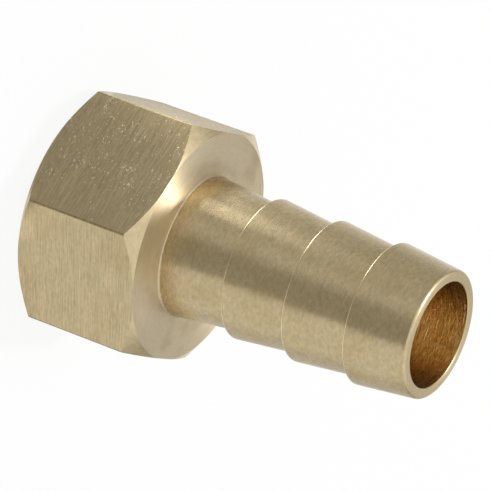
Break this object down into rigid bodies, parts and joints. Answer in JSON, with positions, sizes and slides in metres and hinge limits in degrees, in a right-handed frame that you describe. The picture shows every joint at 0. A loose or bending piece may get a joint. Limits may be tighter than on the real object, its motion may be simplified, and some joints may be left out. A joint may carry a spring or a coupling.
{
  "type": "brass hose tail",
  "caption": "Brass hose tail: a chamfered hexagon with a female pipe thread and a barbed tail that a hose is pushed over and clamped on.",
  "frame": {"origin": "centre of the socket's end face, which the part stands on", "axes": "+Z along the axis from the socket to the tail's tip, +X square to a flat of the hexagon"},
  "size_m": [0.032, 0.0368, 0.0566],
  "materials": {
    "brass": "as turned, slightly dulled"
  },
  "bodies": {
    "root": {"hose_tail": "brass"}
  },
  "joints": []
}
